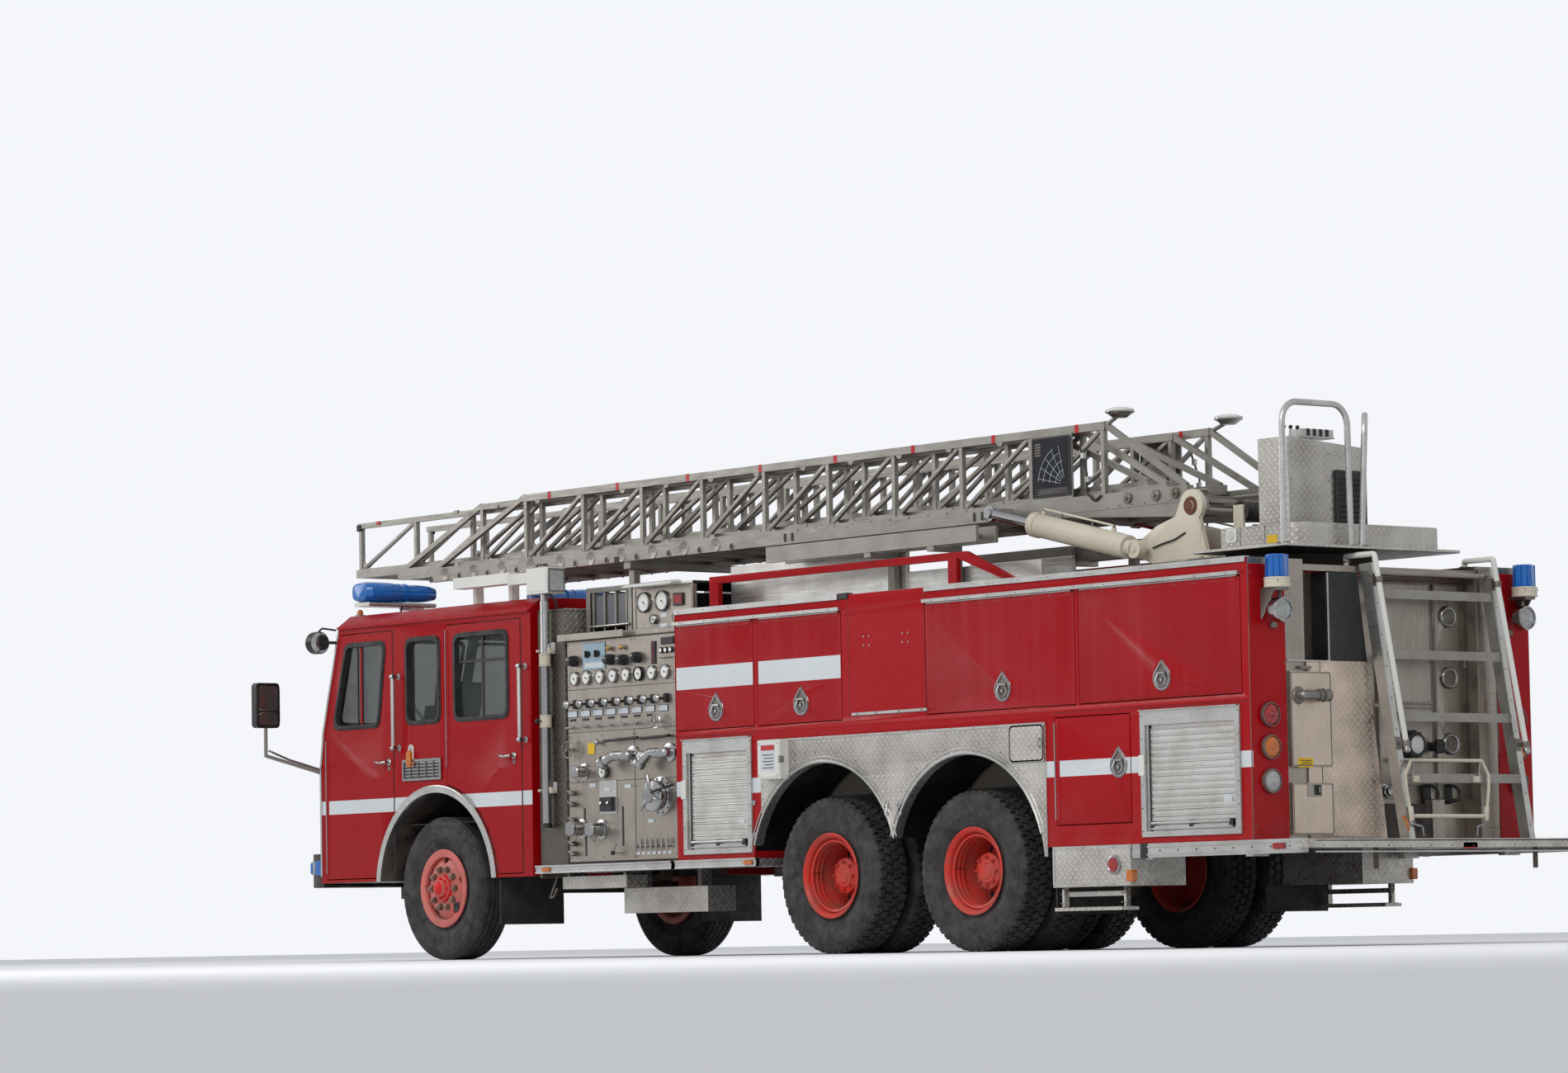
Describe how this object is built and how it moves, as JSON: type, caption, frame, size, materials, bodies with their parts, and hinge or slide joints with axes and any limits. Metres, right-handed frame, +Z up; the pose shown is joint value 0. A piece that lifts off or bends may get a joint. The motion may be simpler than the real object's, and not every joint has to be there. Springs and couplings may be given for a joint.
{
  "type": "fire engine with aerial ladder",
  "caption": "Fire engine with a crew cab, pump panel, side lockers and a turntable ladder on the rear deck.",
  "frame": {"origin": "ground under the middle of the vehicle's length and width", "axes": "+X forward along the vehicle, +Y to its left, +Z up"},
  "size_m": [11.37, 3.47, 3.534],
  "materials": {
    "tyre": "worn road tyre",
    "rim": "gloss red paint",
    "red_paint": "weathered gloss red paint",
    "black_steel": "black chassis paint",
    "tread_plate": "raised-pattern aluminium plate",
    "stainless": "brushed stainless steel",
    "aluminium": "weathered aluminium",
    "chrome": "chromed fittings",
    "glass": "clear glass",
    "blue_lens": "blue lens",
    "red_lens": "red lens",
    "black_rubber": "black rubber",
    "seat": "dark seat fabric",
    "tank": "closed tank",
    "iron": "engine block",
    "cream_paint": "cream paint",
    "white_paint": "white paint"
  },
  "bodies": {
    "vehicle": {"access_ladder": "aluminium", "axles": "black_steel", "blue_lights": "blue_lens", "body_shell": "red_paint", "cab_glass": "glass", "cab_interior": "seat", "cab_shell": "red_paint", "cab_trim": "chrome", "chassis_frame": "black_steel", "engine_block": "iron", "floodlights": "white_paint", "front_bumper": "black_steel", "ground_ladders": "aluminium", "hose_bed_walls": "red_paint", "ladder_posts": "aluminium", "mud_flaps": "black_rubber", "pump_fittings": "chrome", "pump_house": "red_paint", "pump_panels": "stainless", "rear_wall": "stainless", "roller_shutters": "aluminium", "tail_lamps": "red_lens", "tread_plates": "tread_plate", "water_tank": "tank"},
    "knuckle_left": {"knuckle_left": "black_steel"},
    "front_wheel_left": {"front_wheel_left_tyre": "tyre", "front_wheel_left_rim": "rim"},
    "rear_wheel_1_left": {"rear_wheel_1_left_tyre": "tyre", "rear_wheel_1_left_rim": "rim"},
    "rear_wheel_2_left": {"rear_wheel_2_left_tyre": "tyre", "rear_wheel_2_left_rim": "rim"},
    "cab_door_front_left": {"cab_door_front_left": "red_paint"},
    "cab_door_rear_left": {"cab_door_rear_left": "red_paint"},
    "upper_door_a_left": {"upper_door_a_left": "red_paint"},
    "upper_door_b_left": {"upper_door_b_left": "red_paint"},
    "upper_door_c_left": {"upper_door_c_left": "red_paint"},
    "upper_door_d_left": {"upper_door_d_left": "red_paint"},
    "lower_door_left": {"lower_door_left": "red_paint"},
    "knuckle_right": {"knuckle_right": "black_steel"},
    "front_wheel_right": {"front_wheel_right_tyre": "tyre", "front_wheel_right_rim": "rim"},
    "rear_wheel_1_right": {"rear_wheel_1_right_tyre": "tyre", "rear_wheel_1_right_rim": "rim"},
    "rear_wheel_2_right": {"rear_wheel_2_right_tyre": "tyre", "rear_wheel_2_right_rim": "rim"},
    "cab_door_front_right": {"cab_door_front_right": "red_paint"},
    "cab_door_rear_right": {"cab_door_rear_right": "red_paint"},
    "upper_door_a_right": {"upper_door_a_right": "red_paint"},
    "upper_door_b_right": {"upper_door_b_right": "red_paint"},
    "upper_door_c_right": {"upper_door_c_right": "red_paint"},
    "upper_door_d_right": {"upper_door_d_right": "red_paint"},
    "lower_door_right": {"lower_door_right": "red_paint"},
    "turntable": {"turntable": "cream_paint", "turntable_station": "tread_plate"},
    "ladder_base": {"ladder_base": "aluminium", "ladder_heel": "aluminium"},
    "ladder_mid": {"ladder_mid": "aluminium"},
    "ladder_fly": {"ladder_fly": "aluminium"},
    "cylinder_barrels": {"lift_cylinder_barrels": "cream_paint"},
    "cylinder_rods": {"lift_cylinder_rods": "cream_paint"}
  },
  "joints": [
    {"name": "steer_left", "type": "hinge", "parent": "vehicle", "child": "knuckle_left", "pos_m": [3.405, 0.85, 0.525], "axis": [0, 0, 1], "range_deg": [-33, 33]},
    {"name": "front_spin_left", "type": "hinge", "parent": "knuckle_left", "child": "front_wheel_left", "pos_m": [3.405, 1.072, 0.525], "axis": [0, 1, 0], "continuous": true},
    {"name": "rear_spin_1_left", "type": "hinge", "parent": "vehicle", "child": "rear_wheel_1_left", "pos_m": [-1.075, 0.9, 0.525], "axis": [0, 1, 0], "continuous": true},
    {"name": "rear_spin_2_left", "type": "hinge", "parent": "vehicle", "child": "rear_wheel_2_left", "pos_m": [-2.535, 0.9, 0.525], "axis": [0, 1, 0], "continuous": true},
    {"name": "cab_front_door_left", "type": "hinge", "parent": "vehicle", "child": "cab_door_front_left", "pos_m": [4.825, 1.255, 1.5], "axis": [0, 0, -1], "range_deg": [0, 75]},
    {"name": "cab_rear_door_left", "type": "hinge", "parent": "vehicle", "child": "cab_door_rear_left", "pos_m": [3.26, 1.255, 1.5], "axis": [0, 0, -1], "range_deg": [0, 75]},
    {"name": "locker_a_left", "type": "hinge", "parent": "vehicle", "child": "upper_door_a_left", "pos_m": [0.085, 1.255, 2.29], "axis": [1, 0, 0], "range_deg": [0, 85]},
    {"name": "locker_b_left", "type": "hinge", "parent": "vehicle", "child": "upper_door_b_left", "pos_m": [-0.84, 1.255, 2.29], "axis": [1, 0, 0], "range_deg": [0, 85]},
    {"name": "locker_c_left", "type": "hinge", "parent": "vehicle", "child": "upper_door_c_left", "pos_m": [-2.8875, 1.255, 2.29], "axis": [1, 0, 0], "range_deg": [0, 85]},
    {"name": "locker_d_left", "type": "hinge", "parent": "vehicle", "child": "upper_door_d_left", "pos_m": [-4.395, 1.255, 2.29], "axis": [1, 0, 0], "range_deg": [0, 85]},
    {"name": "side_locker_left", "type": "hinge", "parent": "vehicle", "child": "lower_door_left", "pos_m": [-3.41, 1.255, 1.14], "axis": [0, 0, -1], "range_deg": [0, 105]},
    {"name": "steer_right", "type": "hinge", "parent": "vehicle", "child": "knuckle_right", "pos_m": [3.405, -0.85, 0.525], "axis": [0, 0, 1], "range_deg": [-33, 33]},
    {"name": "front_spin_right", "type": "hinge", "parent": "knuckle_right", "child": "front_wheel_right", "pos_m": [3.405, -1.072, 0.525], "axis": [0, 1, 0], "continuous": true},
    {"name": "rear_spin_1_right", "type": "hinge", "parent": "vehicle", "child": "rear_wheel_1_right", "pos_m": [-1.075, -0.9, 0.525], "axis": [0, 1, 0], "continuous": true},
    {"name": "rear_spin_2_right", "type": "hinge", "parent": "vehicle", "child": "rear_wheel_2_right", "pos_m": [-2.535, -0.9, 0.525], "axis": [0, 1, 0], "continuous": true},
    {"name": "cab_front_door_right", "type": "hinge", "parent": "vehicle", "child": "cab_door_front_right", "pos_m": [4.825, -1.255, 1.5], "axis": [0, 0, 1], "range_deg": [0, 75]},
    {"name": "cab_rear_door_right", "type": "hinge", "parent": "vehicle", "child": "cab_door_rear_right", "pos_m": [3.26, -1.255, 1.5], "axis": [0, 0, 1], "range_deg": [0, 75]},
    {"name": "locker_a_right", "type": "hinge", "parent": "vehicle", "child": "upper_door_a_right", "pos_m": [0.085, -1.255, 2.29], "axis": [-1, 0, 0], "range_deg": [0, 85]},
    {"name": "locker_b_right", "type": "hinge", "parent": "vehicle", "child": "upper_door_b_right", "pos_m": [-0.84, -1.255, 2.29], "axis": [-1, 0, 0], "range_deg": [0, 85]},
    {"name": "locker_c_right", "type": "hinge", "parent": "vehicle", "child": "upper_door_c_right", "pos_m": [-2.8875, -1.255, 2.29], "axis": [-1, 0, 0], "range_deg": [0, 85]},
    {"name": "locker_d_right", "type": "hinge", "parent": "vehicle", "child": "upper_door_d_right", "pos_m": [-4.395, -1.255, 2.29], "axis": [-1, 0, 0], "range_deg": [0, 85]},
    {"name": "side_locker_right", "type": "hinge", "parent": "vehicle", "child": "lower_door_right", "pos_m": [-3.41, -1.255, 1.14], "axis": [0, 0, 1], "range_deg": [0, 105]},
    {"name": "turn", "type": "hinge", "parent": "vehicle", "child": "turntable", "pos_m": [-4.185, 0, 2.39], "axis": [0, 0, 1], "continuous": true},
    {"name": "elevate", "type": "hinge", "parent": "turntable", "child": "ladder_base", "pos_m": [-3.985, 0, 2.83], "axis": [0, -1, 0], "range_deg": [0, 75]},
    {"name": "extend_mid", "type": "slide", "parent": "ladder_base", "child": "ladder_mid", "axis": [1, 0, 0], "range_m": [0, 5.8]},
    {"name": "extend_fly", "type": "slide", "parent": "ladder_mid", "child": "ladder_fly", "axis": [1, 0, 0], "range_m": [0, 5.8]},
    {"name": "cylinder_tilt", "type": "hinge", "parent": "turntable", "child": "cylinder_barrels", "pos_m": [-3.575, 0, 2.575], "axis": [0, -1, 0], "range_deg": [0, 77.16]},
    {"name": "cylinder_stroke", "type": "slide", "parent": "cylinder_barrels", "child": "cylinder_rods", "axis": [0.9737, 0, 0.2279], "range_m": [0, 0.5848]}
  ],
  "couplings": [
    {"joint": "steer_right", "follows": "steer_left", "ratio": 1},
    {"joint": "extend_fly", "follows": "extend_mid", "ratio": 1},
    {"joint": "cylinder_tilt", "follows": "elevate", "ratio": 1.0286},
    {"joint": "cylinder_stroke", "follows": "elevate", "m_per_rad": 0.4464}
  ]
}
